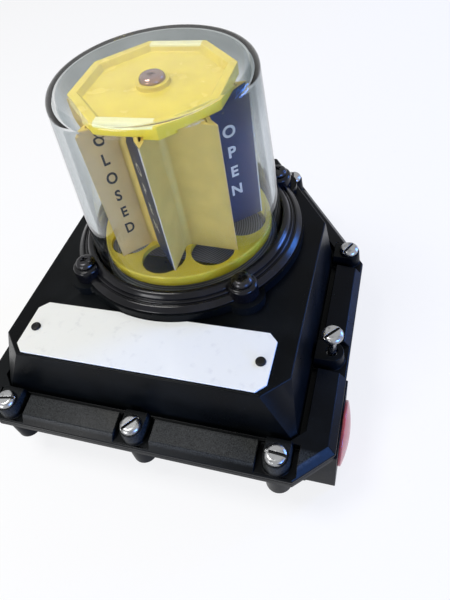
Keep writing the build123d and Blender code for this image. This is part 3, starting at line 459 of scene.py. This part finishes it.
# %% Plated screw
bright_steel = Finish("plated steel", Metallic=1.0)
rim = bright_steel.node("ShaderNodeLayerWeight", {}, {"Blend": 0.35}, "Facing")
plating = bright_steel.blend(rim, colour(0.36, 0.21, 0.15), colour(0.26, 0.23, 0.30))
bright_steel.feed("Base Color", plating)
bright_steel.feed("Roughness", 0.08 + bright_steel.noise(1.5) * 0.1)
bright_steel.bump(bright_steel.noise(0.8), 0.3, 0.03)
print("plated screw ready")

# %% [markdown]
# ## Finishes of the plastics and rubber
# Indicator, plug, switches and cams are moulded. A plain colour with a gloss would do from far
# away, but up close a moulding is cloudy and a little wavy. So one recipe gives all of them soft
# clouds that are slightly deeper and duller, and a low wave. Rubber is the same recipe, dull.


# %% Plastics
def moulded(name, roughness, cloud_mm=9, coat=0.0, waviness=0.12):
    """A plastic that still wants its colour. It carries the mask of its clouds."""
    finish = Finish(name, Coat_Weight=coat, Coat_Roughness=0.05)
    finish.cloud = finish.step(finish.noise(cloud_mm, 4), 0.3, 0.7)
    finish.feed("Roughness", roughness + finish.cloud * 0.08)
    finish.bump(finish.noise(2.2, 2), waviness, 0.03)
    return finish


def plastic_finish(name, shade, roughness, **more):
    """A moulded plastic of one colour, a little deeper in its clouds."""
    finish = moulded(name, roughness, **more)
    deep = [value * 0.88 for value in shade]
    finish.feed("Base Color", finish.blend(finish.cloud, colour(*shade), colour(*deep)))
    return finish


indicator_yellow = plastic_finish("indicator yellow", (0.86, 0.68, 0.05), 0.2, coat=0.1)
fin_yellow = plastic_finish("fin yellow", (0.77, 0.58, 0.155), 0.32, waviness=0.03)
face_yellow = plastic_finish("face yellow", (0.80, 0.58, 0.24), 0.3)
plug_red = plastic_finish(
    "plug red", (0.50, 0.025, 0.035), 0.28, cloud_mm=6, coat=0.4, waviness=0.03
)
switch_black = plastic_finish("switch black", (0.02, 0.02, 0.02), 0.4)
cam_orange = plastic_finish("cam orange", (0.75, 0.17, 0.02), 0.4)
cam_green = plastic_finish("cam green", (0.02, 0.3, 0.06), 0.4)
ground_green = plastic_finish("ground green", (0.02, 0.26, 0.06), 0.35)
seal_rubber = plastic_finish("seal rubber", (0.012, 0.012, 0.012), 0.7, cloud_mm=3)
letter_white = plastic_finish("letter white", (0.78, 0.79, 0.66), 0.3, cloud_mm=3)
letter_black = plastic_finish("letter black", (0.012, 0.012, 0.014), 0.3, cloud_mm=3)
print("plastic finishes ready")

# %% [markdown]
# ## Painted highlights on the cap's rims
# The middle of the cap's front and rear rim is painted pale, a painted highlight that stands in
# for the glare these rims catch. Separate pieces could be laid there, but a highlight has no
# thickness. A mask by place does it: far enough forwards or back, not far to the side, and only
# on top. The absolute value makes one test serve both ends.

# %% Cap finish
RIM_START = 25.95
RIM_HALF_LENGTH = 11.0
RIM_LEVEL = 135.75

cap_yellow = moulded("cap yellow", 0.2, coat=0.1)
forwards = cap_yellow.along("Y").apply("ABSOLUTE")
sideways = cap_yellow.along("X").apply("ABSOLUTE")
rim_highlight = cap_yellow.beyond(forwards, RIM_START, 0.25)
rim_highlight = rim_highlight * (1 - cap_yellow.beyond(sideways, RIM_HALF_LENGTH, 0.2))
rim_highlight = rim_highlight * cap_yellow.beyond(cap_yellow.along("Z"), RIM_LEVEL, 0.25)

deep_yellow = colour(0.80, 0.62, 0.045)
cap_colour = cap_yellow.blend(cap_yellow.cloud, colour(0.86, 0.68, 0.05), deep_yellow)
# Painted highlight: pale glare colours blended onto the rims.
highlight_cloud = cap_yellow.noise(2.0, 4)
painted_glare = cap_yellow.blend(highlight_cloud, colour(0.95, 0.93, 0.55), colour(0.9, 0.84, 0.35))
cap_yellow.feed("Base Color", cap_yellow.blend(rim_highlight, cap_colour, painted_glare))
print("cap finish ready")

# %% [markdown]
# ## The blue faces
# A blue film is laid on one wall of each bay. It has come away in chips at the root and along
# the very tip. The chips could be cut out of the film, but it is far too thin for that to show.
# Instead noise is added to the distance from the axis before it is compared with the edge,
# which makes a straight edge ragged.

# %% Blue faces
FILM_ROOT = 21.0
FILM_TIP = 34.9
CHIP_DEPTH = 2.2

face_blue = moulded("face blue", 0.4)
across = face_blue.across()
ragged = across + face_blue.noise(1.6, 5) * (CHIP_DEPTH * MM)
chips = face_blue.beyond(across, FILM_TIP, 0.1) + (1 - face_blue.beyond(ragged, FILM_ROOT, 0.1))
shades = face_blue.noise(9, 4)
blues = face_blue.blend(shades, colour(0.004, 0.015, 0.060), colour(0.008, 0.023, 0.085))
face_blue.feed("Base Color", face_blue.blend(chips, blues, colour(0.75, 0.72, 0.55)))
print("blue faces ready")

# %% [markdown]
# ## The clear plastic of the dome
# The dome is thin, clear and a little smoky. A thick plastic absorbs light along its path, and
# that could be had from a volume, but volumes are slow and full of noise. So the tint sits on
# the surface: a light one on the roof, a deeper one on the wall, and deeper still where the wall
# is seen edge on. The upper rear wall, where the roof's edge lies behind it, is painted nearly
# black: that is painted shade, not tint, standing in for the dark seen through it there.

# %% Dome finish
WALL_EDGE = 36.6
CROWN_EDGE = 124
REAR_EDGE = -10

dim = colour(0.35, 0.35, 0.35)
dome_clear = Finish("clear dome", Transmission_Weight=1.0, IOR=1.3, Specular_Tint=dim)
haze = dome_clear.step(dome_clear.noise(16, 5), 0.45, 0.8)
wall = dome_clear.beyond(dome_clear.across(), WALL_EDGE, 0.6)
crown = dome_clear.beyond(dome_clear.along("Z"), CROWN_EDGE, 10)
rear_shade = dome_clear.beyond(dome_clear.along("Y"), REAR_EDGE, 20)
turning = dome_clear.node("ShaderNodeLayerWeight", {}, {"Blend": 0.5}, "Facing")
edge_on = dome_clear.step(turning, 0.40, 0.85) * wall

smoke_and_shade = dome_clear.blend(wall, colour(0.93, 0.94, 0.94), colour(0.80, 0.82, 0.82))
# Painted shade: the upper rear wall is blended towards near black.
smoke_and_shade = dome_clear.blend(crown * wall * rear_shade, smoke_and_shade, colour(0.17, 0.20, 0.195))
smoke_and_shade = dome_clear.blend(haze * 0.2, smoke_and_shade, colour(0.68, 0.71, 0.72))
dome_clear.feed("Base Color", dome_clear.blend(edge_on, smoke_and_shade, colour(0.26, 0.31, 0.33)))
dome_clear.feed("Roughness", 0.015 + haze * 0.03)
print("dome finish ready")

# %% [markdown]
# ## The nameplate
# The plate is thin aluminium enamelled white, held by a black rivet at each end. It carries no
# words. A flat white would look like cut paper, so it gets faint grey scuffs that are also a
# little duller than the enamel round them.

# %% Nameplate finish
plate_white = Finish("white plate", Coat_Weight=0.2)
scuffs = plate_white.step(plate_white.noise(5, 6), 0.55, 0.8)
enamel = plate_white.blend(scuffs, colour(0.81, 0.82, 0.78), colour(0.69, 0.70, 0.68))
plate_white.feed("Base Color", enamel)
plate_white.feed("Roughness", 0.3 + scuffs * 0.2)
plate_white.bump(plate_white.noise(0.8, 2), 0.1, 0.02)
print("plate finish ready")

# %% [markdown]
# ## Dressing the CAD nodes
# Every solid now gets its finish. The pieces made below could be given theirs one by one, but a
# soft edged copy takes the finish of the solid it stands for, so this table is the one place
# that says what each part is made of.

# %% Finish every node
DRESS = (
    (casting, "base_housing", "cover"),
    (ring_black, "dome_ring"),
    (screw_steel, "cover_screws", "raised_cover_screw"),
    (plain_steel, "switch_screws", "bracket_screws", "terminal_screws", "strip_screws"),
    (shaft_steel, "main_shaft", "indicator_spindle", "drive_dog", "cam_targets"),
    (spring_steel, "shaft_clip", "snap_ring", "cam_spacer"),
    (bracket_zinc, "switch_bracket"),
    (bronze, "shaft_bush", "spindle_bush"),
    (bright_steel, "cap_screw"),
    (black_steel, "dome_ring_screws"),
    (rivet_black, "nameplate_rivets"),
    (indicator_yellow, "indicator_disc"),
    (cap_yellow, "indicator_cap"),
    (fin_yellow, "indicator_fins"),
    (face_blue, "open_faces"),
    (face_yellow, "closed_faces"),
    (plug_red, "conduit_plug"),
    (switch_black, "lower_switch", "upper_switch", "terminal_strip"),
    (cam_orange, "lower_cam"),
    (cam_green, "upper_cam"),
    (ground_green, "ground_screw"),
    (seal_rubber, "cover_gasket", "dome_seal", "shaft_seal"),
    (dome_clear, "dome"),
    (plate_white, "nameplate"),
)
finish_of = {}
for finish, *names in DRESS:
    for name in names:
        nodes[name].data.materials.clear()
        nodes[name].data.materials.append(finish.material)
        finish_of[name] = finish
print(len(finish_of), "of", len(nodes), "nodes have a finish")

# %% [markdown]
# ## Soft edged pieces from the CAD solids
# Cast, moulded and turned parts have soft edges, and the thin bright lines that these catch are
# most of what makes a part look real. A Bevel modifier could round them, but it leaves no
# chance to mend a slip: where many edges meet, a bevel can throw a point far out. So a merged
# copy is bevelled with bmesh wherever its surface turns sharply, and a point that ends up too
# far from the sharp shape is put back on it.

# %% Make a piece
SMOOTH_ANGLE = 38


def piece(name, bm, finish, body, slot, *replaced):
    """Makes an object from a bmesh, gives it a finish and a body to ride on."""
    mesh = bpy.data.meshes.new(name)
    bm.to_mesh(mesh)
    bm.free()
    mesh.materials.append(finish.material)
    mesh.shade_smooth()
    mesh.set_sharp_from_angle(angle=radians(SMOOTH_ANGLE))
    thing = bpy.data.objects.new(name, mesh)
    bpy.context.scene.collection.objects.link(thing)
    even = thing.modifiers.new("even shading", "WEIGHTED_NORMAL")
    even.keep_sharp = True
    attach(thing, body)
    if replaced:
        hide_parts(*replaced)
    print(name, "has", len(mesh.polygons), "faces")


# %% Soften the edges
SHARP_ANGLE = 28
STRAY = 0.8


def softened(node, body, slot, width_mm, below_mm=1000):
    """A soft edged copy of a CAD node. Edges above a height are left sharp."""
    bm = merged(node)
    edges = []
    for edge in bm.edges:
        if len(edge.link_faces) == 2 and edge.calc_face_angle() > radians(SHARP_ANGLE):
            if max(vert.co.z for vert in edge.verts) < below_mm * MM:
                edges.append(edge)
    sharp_shape = BVHTree.FromBMesh(bm)
    bmesh.ops.bevel(
        bm, geom=edges, offset=width_mm * MM, offset_type="OFFSET", segments=2,
        profile=0.5, affect="EDGES", material=-1, clamp_overlap=False,
    )
    for vert in bm.verts:
        spot = sharp_shape.find_nearest(vert.co)[0]
        if (spot - vert.co).length > STRAY * width_mm * MM:
            vert.co = spot
    piece("soft_" + node, bm, finish_of[node], body, slot, node)


# %% [markdown]
# ## The castings
# Both castings could be softened all over. The cover is only softened low down, because the
# round along its top edge is already in the solid, and a bevel on the short facets of that
# round would fold over itself.

# %% Castings
TOP_ROUND_START = 50

softened("cover", "cover", "cast_black", 0.35, below_mm=TOP_ROUND_START)
softened("base_housing", "base", "cast_black", 0.35)

# %% [markdown]
# ## Screws and small parts
# Each small part could be softened in a line of its own. They differ only in the body they ride
# on, their slot and the width of their edges in millimetres, so a table says it shorter. The
# finer the part, the finer its edge.

# %% Screws and small parts
SOFT_PARTS = (
    ("cover_screws", "cover", "screw_steel", 0.16),
    ("raised_cover_screw", "raised_screw", "screw_steel", 0.16),
    ("dome_ring_screws", "cover", "black_screw", 0.12),
    ("nameplate_rivets", "cover", "rivet_dark", 0.1),
    ("cap_screw", "indicator", "bright_steel", 0.12),
    ("nameplate", "cover", "plate_white", 0.12),
    ("conduit_plug", "base", "plug_red", 0.25),
    ("lower_switch", "base", "switch_black", 0.2),
    ("upper_switch", "base", "switch_black", 0.2),
    ("terminal_strip", "base", "switch_black", 0.2),
    ("switch_bracket", "base", "bracket_zinc", 0.15),
    ("lower_cam", "shaft", "cam_orange", 0.2),
    ("upper_cam", "shaft", "cam_green", 0.2),
    ("main_shaft", "shaft", "shaft_steel", 0.2),
    ("indicator_cap", "indicator", "indicator_yellow", 0.3),
    ("indicator_disc", "indicator", "indicator_yellow", 0.2),
    ("indicator_fins", "indicator", "indicator_yellow", 0.15),
)
for node, body, slot, width_mm in SOFT_PARTS:
    softened(node, body, slot, width_mm)

# %% [markdown]
# ## The clear dome
# The dome is a moulded cup with an even wall, a foot flange and a well rounded top edge. It
# could be the CAD solid with a bevel, but its wall has to be even all the way round the edge,
# because light runs along a thick sharp corner and leaves it black. So half of its section is
# drawn as a few points, each corner is rounded with a vertex bevel, and the section is spun.

# %% Spun shapes
ROUND_STEPS = 160


def spun(points, steps):
    """A closed section of (radius, height, rounding) in millimetres, turned about the Z axis."""
    bm = bmesh.new()
    corners = [bm.verts.new((radius * MM, 0, height * MM)) for radius, height, rounding in points]
    for first, second in zip(corners, corners[1:] + corners[:1]):
        bm.edges.new((first, second))
    for corner, (radius, height, rounding) in zip(corners, points):
        if rounding:
            bmesh.ops.bevel(
                bm, geom=[corner], offset=rounding * MM, offset_type="OFFSET", segments=5,
                profile=0.5, affect="VERTICES", material=-1,
            )
    bmesh.ops.spin(
        bm, geom=bm.verts[:] + bm.edges[:], cent=(0, 0, 0), axis=(0, 0, 1),
        angle=2 * pi, steps=steps, use_merge=True,
    )
    bmesh.ops.remove_doubles(bm, verts=bm.verts, dist=0.001 * MM)
    bmesh.ops.recalc_face_normals(bm, faces=bm.faces)
    return bm


print("spun shapes ready, with", ROUND_STEPS, "steps to a turn")

# %% Dome
ROOF = 2.4
FOOT = 3.0

dome_low, dome_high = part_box("dome")
foot_z = dome_low.z / MM
top_z = dome_high.z / MM
flange_radius = dome_high.x / MM
dome_points = [
    (flange_radius - 5.5, foot_z, 0.4),
    (flange_radius, foot_z, 0.4),
    (flange_radius, foot_z + FOOT, 0.4),
    (flange_radius - 2.5, foot_z + FOOT, 0.8),
    (flange_radius - 6.8, top_z, 3.6),
    (0, top_z, 0),
    (0, top_z - ROOF, 0),
    (flange_radius - 9.7, top_z - ROOF, 1.8),
]
piece("clear_dome", spun(dome_points, ROUND_STEPS), dome_clear, "cover", "dome_clear", "dome")
print("dome spun, top at", round(top_z, 1), "mm")

# %% [markdown]
# ## The clamp ring
# A turned ring holds the dome down. Its face falls away from the lip in steps, with two fine
# grooves, and four ears carry the screws. The grooves could be cut into a plain ring, but they
# are turned on the real one too, so they are simply more points of the section that is spun.

# %% Ring section
seat_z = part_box("dome_ring")[0].z / MM
ring_points = [
    (47.1, seat_z, 0),
    (53.4, seat_z, 0.3),
    (53.3, seat_z + 0.7, 0.3),
    (51.2, seat_z + 2.3, 0.4),
    (50.5, seat_z + 2.3, 0.2),
    (50.3, seat_z + 1.8, 0.2),
    (49.8, seat_z + 1.8, 0.2),
    (49.6, seat_z + 2.6, 0.2),
    (49.1, seat_z + 3.1, 0.2),
    (48.9, seat_z + 2.8, 0.2),
    (48.5, seat_z + 2.8, 0.2),
    (48.3, seat_z + 3.9, 0.3),
    (47.4, seat_z + 5.2, 0.5),
    (46.6, seat_z + 5.6, 0.4),
    (45.2, seat_z + 5.6, 0.5),
    (44.6, seat_z + 4.9, 0.3),
    (44.6, seat_z + 4.0, 0),
    (47.1, seat_z + 4.0, 0),
]
ring_bm = spun(ring_points, ROUND_STEPS)
print("ring section has", len(ring_points), "corners")

# %% [markdown]
# ## The ears of the ring
# Each ear is a round boss that grows out of the ring. A boolean union could join them, but it
# leaves slivers along the grooves. Instead each boss is spun by itself, moved out to its
# screw, cut off inside the ring with a bisect plane, and closed there.

# %% Ears
EARS = 4
EAR_STEPS = 40
EAR_CIRCLE = 51.0
EAR_CUT = 47.5
EAR_HEIGHT = 6.6

ear_points = [
    (0, seat_z, 0),
    (6.4, seat_z, 0),
    (6.2, seat_z + 6.2, 1.0),
    (4.2, seat_z + EAR_HEIGHT, 0.3),
    (0, seat_z + EAR_HEIGHT, 0),
]
for ear in range(EARS):
    ear_bm = spun(ear_points, EAR_STEPS)
    bmesh.ops.translate(ear_bm, verts=ear_bm.verts, vec=(EAR_CIRCLE * MM, 0, 0))
    cut = bmesh.ops.bisect_plane(
        ear_bm, geom=ear_bm.verts[:] + ear_bm.edges[:] + ear_bm.faces[:], dist=1e-7,
        plane_co=(EAR_CUT * MM, 0, 0), plane_no=(-1, 0, 0), clear_outer=True,
    )
    cut_edges = [part for part in cut["geom_cut"] if isinstance(part, bmesh.types.BMEdge)]
    bmesh.ops.holes_fill(ear_bm, edges=cut_edges)
    turn = Matrix.Rotation(radians(45 + 360 / EARS * ear), 4, "Z")
    bmesh.ops.transform(ear_bm, matrix=turn, verts=ear_bm.verts)
    ear_mesh = bpy.data.meshes.new("ear")
    ear_bm.to_mesh(ear_mesh)
    ear_bm.free()
    ring_bm.from_mesh(ear_mesh)
    bpy.data.meshes.remove(ear_mesh)
piece("clamp_ring", ring_bm, ring_black, "cover", "ring_black", "dome_ring")

# %% [markdown]
# ## The walls of the pinwheel
# The indicator has eight walls, two to a bay. One wall of each bay is blue and says OPEN, and
# the other is yellow and says CLOSED. The CAD faces could be searched for their corners, but
# the walls repeat every 45 degrees, so the root and the tip of one wall give all of them.

# %% Roots and tips
WALLS = 8
TIP_RADIUS = 35.4
TIP_ANGLE = -123.5
ROOT_RADIUS = 19.4
ROOT_ANGLE = -115.0


def wall_points(radius_mm, angle):
    """The same point of every wall, seen from above."""
    turns = [radians(angle + 360 / WALLS * number) for number in range(WALLS)]
    return [Vector((radius_mm * cos(turn), radius_mm * sin(turn), 0)) * MM for turn in turns]


tips = wall_points(TIP_RADIUS, TIP_ANGLE)
roots = wall_points(ROOT_RADIUS, ROOT_ANGLE)
print(len(tips), "walls")

# %% [markdown]
# ## Words
# The words are printed in stacked capitals. They could be a texture, but a texture would need an
# image or a UV map. So each letter is text that becomes a flat mesh first, and is then turned
# to stand on its wall: its x axis runs along the wall, its y axis goes up, and it faces
# outwards, a hair in front of the printed film.

# %% Stacked letters
FILM_FACE = 0.35
PRINT = 0.06
BOLD = 0.03


def stacked(word, size_mm, pitch_mm, squeeze):
    """Flat stacked capitals as a bmesh, the first one centred on the origin."""
    bm = bmesh.new()
    narrow = Matrix.Diagonal((squeeze, 1, 1, 1))
    for row, letter in enumerate(word):
        curve = bpy.data.curves.new(letter, "FONT")
        curve.body = letter
        curve.size = size_mm * MM
        curve.offset = BOLD * size_mm * MM
        curve.align_x = "CENTER"
        curve.align_y = "CENTER"
        holder = bpy.data.objects.new(letter, curve)
        mesh = bpy.data.meshes.new_from_object(holder)
        mesh.transform(Matrix.Translation((0, -row * pitch_mm * MM, 0)) @ narrow)
        bm.from_mesh(mesh)
        bpy.data.objects.remove(holder)
        bpy.data.curves.remove(curve)
        bpy.data.meshes.remove(mesh)
    return bm


def on_wall(text, start, end, along_mm, first_z_mm):
    """Stands flat text on the wall that runs from start to end."""
    along = (end - start).normalized()
    outward = Vector((along.y, -along.x, 0))
    stand = Matrix((along, (0, 0, 1), outward)).transposed().to_4x4()
    spot = start + along * along_mm * MM + outward * (FILM_FACE + PRINT) * MM
    spot.z = first_z_mm * MM
    bmesh.ops.transform(text, matrix=Matrix.Translation(spot) @ stand, verts=text.verts)


print("letters stand", FILM_FACE + PRINT, "mm in front of the middle of a wall")


# %% Words
def words(name, letters, walls, along_mm, first_z_mm, finish, slot):
    """One piece with the same word on several walls."""
    whole = bmesh.new()
    for start, end in walls:
        text = stacked(*letters)
        on_wall(text, start, end, along_mm, first_z_mm)
        mesh = bpy.data.meshes.new(name)
        text.to_mesh(mesh)
        text.free()
        whole.from_mesh(mesh)
        bpy.data.meshes.remove(mesh)
    piece(name, whole, finish, "indicator", slot)


blue_walls = zip(roots[0::2], tips[1::2])
yellow_walls = zip(tips[0::2], roots[0::2])
open_print = ("OPEN", 6.9, 9.2, 1.0)
closed_print = ("CLOSED", 6.8, 8.4, 0.8)
words("open_letters", open_print, blue_walls, 12.0, 117.1, letter_white, "plate_white")
words("closed_letters", closed_print, yellow_walls, 7.0, 127.6, letter_black, "switch_black")
